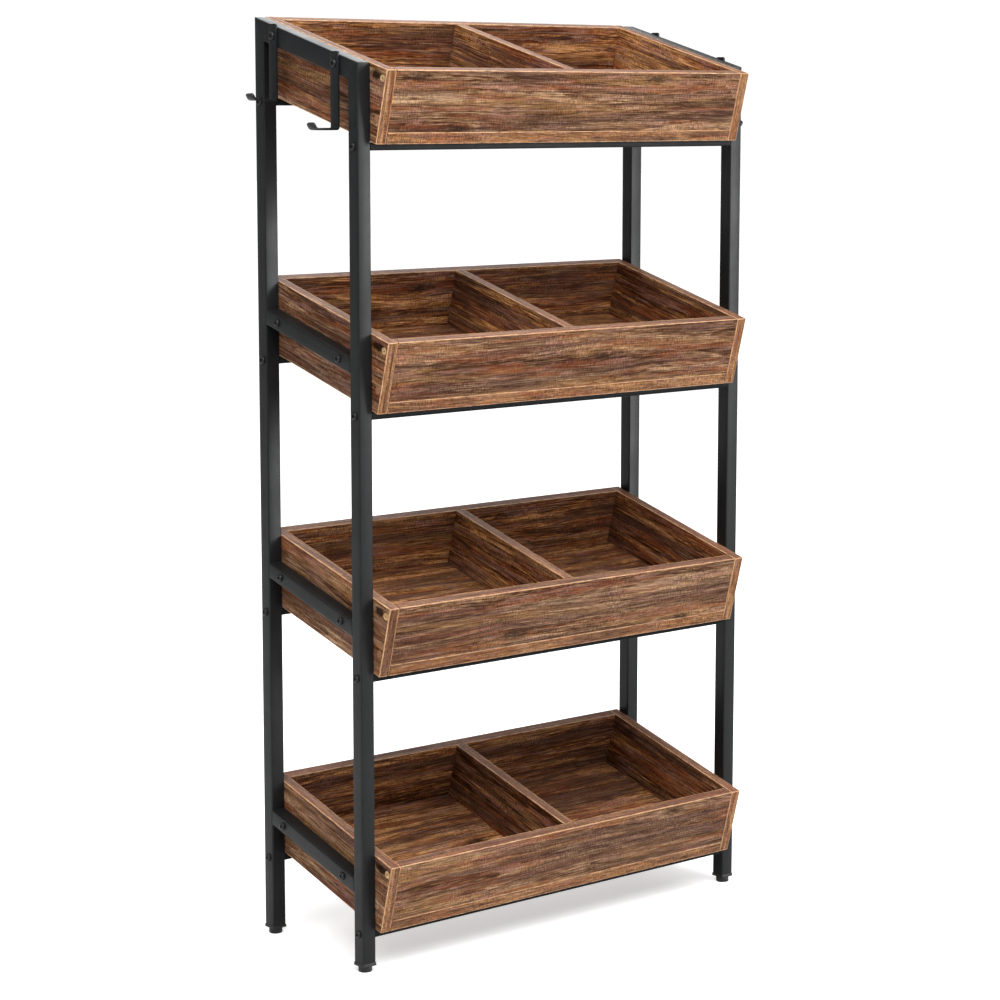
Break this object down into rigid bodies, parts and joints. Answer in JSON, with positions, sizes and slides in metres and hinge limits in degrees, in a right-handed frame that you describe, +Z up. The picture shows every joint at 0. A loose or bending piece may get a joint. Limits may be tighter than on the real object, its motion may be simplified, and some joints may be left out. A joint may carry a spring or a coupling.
{
  "type": "bakers rack",
  "caption": "Free-standing bakers rack: tilted wooden bins with dividers in a black square-tube steel frame, strip hooks on both sides and levelling feet.",
  "frame": {"origin": "on the floor, under the middle of the rack's overall box; the posts stand 3.4 mm behind it because the bins reach further forward", "axes": "+X to the right and +Y to the rear as seen from the front, +Z up"},
  "size_m": [0.7346, 0.2888, 1.2208],
  "materials": {
    "frame_steel": "black powder coat, satin",
    "hook_steel": "black powder coat, satin",
    "brown_board": "rustic brown wood-grain laminate on particle board, matt",
    "insert_plastic": "moulded black, matt",
    "foot_plastic": "moulded black, matt"
  },
  "bodies": {
    "frame": {"left_front_post": "frame_steel", "left_rear_post": "frame_steel", "right_front_post": "frame_steel", "right_rear_post": "frame_steel", "left_top_rail": "frame_steel", "left_rail_2": "frame_steel", "left_rail_3": "frame_steel", "left_rail_4": "frame_steel", "right_top_rail": "frame_steel", "right_rail_2": "frame_steel", "right_rail_3": "frame_steel", "right_rail_4": "frame_steel", "front_beam_1": "frame_steel", "rear_beam_1": "frame_steel", "front_beam_2": "frame_steel", "rear_beam_2": "frame_steel", "front_beam_3": "frame_steel", "rear_beam_3": "frame_steel", "front_beam_4": "frame_steel", "rear_beam_4": "frame_steel", "bin_1_left_side": "brown_board", "bin_1_right_side": "brown_board", "bin_1_floor": "brown_board", "bin_1_front": "brown_board", "bin_1_back": "brown_board", "bin_1_divider": "brown_board", "bin_2_left_side": "brown_board", "bin_2_right_side": "brown_board", "bin_2_floor": "brown_board", "bin_2_front": "brown_board", "bin_2_back": "brown_board", "bin_2_divider": "brown_board", "bin_3_left_side": "brown_board", "bin_3_right_side": "brown_board", "bin_3_floor": "brown_board", "bin_3_front": "brown_board", "bin_3_back": "brown_board", "bin_3_divider": "brown_board", "bin_4_left_side": "brown_board", "bin_4_right_side": "brown_board", "bin_4_floor": "brown_board", "bin_4_front": "brown_board", "bin_4_back": "brown_board", "bin_4_divider": "brown_board", "left_front_hook": "hook_steel", "left_rear_hook": "hook_steel", "right_front_hook": "hook_steel", "right_rear_hook": "hook_steel", "left_front_insert": "insert_plastic", "left_rear_insert": "insert_plastic", "right_front_insert": "insert_plastic", "right_rear_insert": "insert_plastic"},
    "left_front_foot_body": {"left_front_foot": "foot_plastic"},
    "left_rear_foot_body": {"left_rear_foot": "foot_plastic"},
    "right_front_foot_body": {"right_front_foot": "foot_plastic"},
    "right_rear_foot_body": {"right_rear_foot": "foot_plastic"}
  },
  "joints": [
    {"name": "left_front_foot_height", "type": "slide", "parent": "frame", "child": "left_front_foot_body", "axis": [0, 0, -1], "range_m": [0, 0.012]},
    {"name": "left_rear_foot_height", "type": "slide", "parent": "frame", "child": "left_rear_foot_body", "axis": [0, 0, -1], "range_m": [0, 0.012]},
    {"name": "right_front_foot_height", "type": "slide", "parent": "frame", "child": "right_front_foot_body", "axis": [0, 0, -1], "range_m": [0, 0.012]},
    {"name": "right_rear_foot_height", "type": "slide", "parent": "frame", "child": "right_rear_foot_body", "axis": [0, 0, -1], "range_m": [0, 0.012]}
  ]
}
